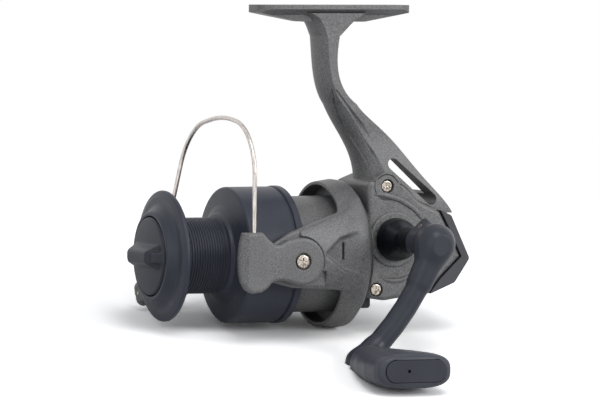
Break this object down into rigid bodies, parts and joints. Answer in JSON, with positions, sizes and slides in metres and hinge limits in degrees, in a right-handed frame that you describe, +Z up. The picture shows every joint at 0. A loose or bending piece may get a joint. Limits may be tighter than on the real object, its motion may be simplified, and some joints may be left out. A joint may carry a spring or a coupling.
{
  "type": "spinning reel",
  "caption": "Front-drag spinning reel with rod foot, turning rotor with folding bail and line roller, sliding spool with drag knob, geared crank handle with paddle grip, and reverse lever.",
  "frame": {"origin": "middle of the rod foot's flat top face", "axes": "+Z up out of the foot's seat, -X forward along the spool axis, -Y to the handle side"},
  "size_m": [0.1213, 0.1303, 0.1295],
  "materials": {
    "body_grey": "fine speckled satin grey",
    "rotor_grey": "fine speckled satin grey",
    "cover_dark": "dark slate satin",
    "spool_dark": "dark navy charcoal satin",
    "handle_dark": "dark navy charcoal satin",
    "bright_steel": "polished",
    "plain_steel": "machined",
    "brass": "machined",
    "gear_metal": "die cast",
    "felt": "felt",
    "nylon": "natural nylon"
  },
  "bodies": {
    "housing": {"body_housing": "body_grey", "side_cover": "body_grey", "rear_cover": "cover_dark", "cover_screws": "bright_steel", "slider_guide_rod": "plain_steel", "handle_side_bearing": "plain_steel", "far_side_bush": "nylon", "far_side_cap": "cover_dark", "pinion_bearing": "plain_steel", "clutch_housing": "plain_steel", "clutch_screws": "bright_steel", "oscillation_axle": "plain_steel"},
    "drive": {"drive_gear": "gear_metal", "drive_axle": "plain_steel", "oscillation_drive_gear": "brass", "handle_collar": "handle_dark", "handle_hinge_pin": "bright_steel"},
    "handle": {"handle_arm": "handle_dark", "knob_spindle": "plain_steel", "knob_screw": "bright_steel"},
    "grip": {"knob": "handle_dark", "knob_cap": "handle_dark"},
    "rotor_group": {"rotor": "rotor_grey", "rotor_washer": "plain_steel", "rotor_nut": "brass", "pinion_gear": "brass", "clutch_sleeve": "plain_steel", "bail_pivot_screws": "bright_steel", "bail_spring": "plain_steel"},
    "bail": {"near_bail_arm": "rotor_grey", "roller_bail_arm": "rotor_grey", "bail_wire": "bright_steel", "wire_cap": "handle_dark", "line_roller_bush": "nylon", "line_roller_screw": "bright_steel"},
    "guide_roller": {"line_roller": "bright_steel"},
    "crank": {"oscillation_gear": "nylon"},
    "shaft": {"main_shaft": "plain_steel", "oscillation_slider": "gear_metal", "spool_seat_pin": "plain_steel", "spool_seat_washer": "nylon", "drag_metal_washers": "plain_steel", "drag_spring": "plain_steel"},
    "spool_group": {"spool": "spool_dark", "drag_felt_washers": "felt", "drag_retaining_ring": "plain_steel"},
    "drag_adjuster": {"drag_knob": "spool_dark", "drag_nut": "brass"},
    "reverse_lever": {"anti_reverse_lever": "cover_dark"},
    "clutch": {"clutch_cage": "nylon", "clutch_rollers": "plain_steel"}
  },
  "joints": [
    {"name": "handle_turn", "type": "hinge", "parent": "housing", "child": "drive", "pos_m": [0.0186, 0, -0.0825], "axis": [0, -1, 0], "continuous": true},
    {"name": "rotor_spin", "type": "hinge", "parent": "housing", "child": "rotor_group", "pos_m": [0, 0, -0.088], "axis": [-1, 0, 0], "continuous": true},
    {"name": "crank_turn", "type": "hinge", "parent": "housing", "child": "crank", "pos_m": [0.0308, 0, -0.088], "axis": [0, -1, 0], "continuous": true},
    {"name": "spool_stroke", "type": "slide", "parent": "housing", "child": "shaft", "axis": [1, 0, 0], "range_m": [0, 0.013]},
    {"name": "spool_slip", "type": "hinge", "parent": "shaft", "child": "spool_group", "pos_m": [0, 0, -0.088], "axis": [-1, 0, 0], "continuous": true},
    {"name": "drag_knob_turn", "type": "hinge", "parent": "shaft", "child": "drag_adjuster", "pos_m": [0, 0, -0.088], "axis": [-1, 0, 0], "range_deg": [-450, 450]},
    {"name": "bail_flip", "type": "hinge", "parent": "rotor_group", "child": "bail", "pos_m": [-0.023, 0, -0.089], "axis": [0, -1, 0], "range_deg": [0, 95]},
    {"name": "line_roller_spin", "type": "hinge", "parent": "bail", "child": "guide_roller", "pos_m": [-0.05, 0.0304, -0.1024], "axis": [-1, 0, 0], "continuous": true},
    {"name": "knob_spin", "type": "hinge", "parent": "handle", "child": "grip", "pos_m": [-0.00982, -0.049, -0.12309], "axis": [0, -1, 0], "continuous": true},
    {"name": "handle_fold", "type": "hinge", "parent": "drive", "child": "handle", "pos_m": [0.02066, -0.041, -0.07955], "axis": [-0.8192, 0, 0.5736], "range_deg": [0, 90]},
    {"name": "reverse_lever_turn", "type": "hinge", "parent": "housing", "child": "reverse_lever", "pos_m": [0, 0, -0.1015], "axis": [-1, 0, 0], "range_deg": [0, 35]},
    {"name": "clutch_cage_turn", "type": "hinge", "parent": "housing", "child": "clutch", "pos_m": [0, 0, -0.088], "axis": [-1, 0, 0], "range_deg": [-7, 7]}
  ],
  "couplings": [
    {"joint": "rotor_spin", "follows": "handle_turn", "ratio": -5},
    {"joint": "crank_turn", "follows": "handle_turn", "ratio": -0.57143},
    {"joint": "clutch_cage_turn", "follows": "reverse_lever_turn", "ratio": -0.1754}
  ]
}
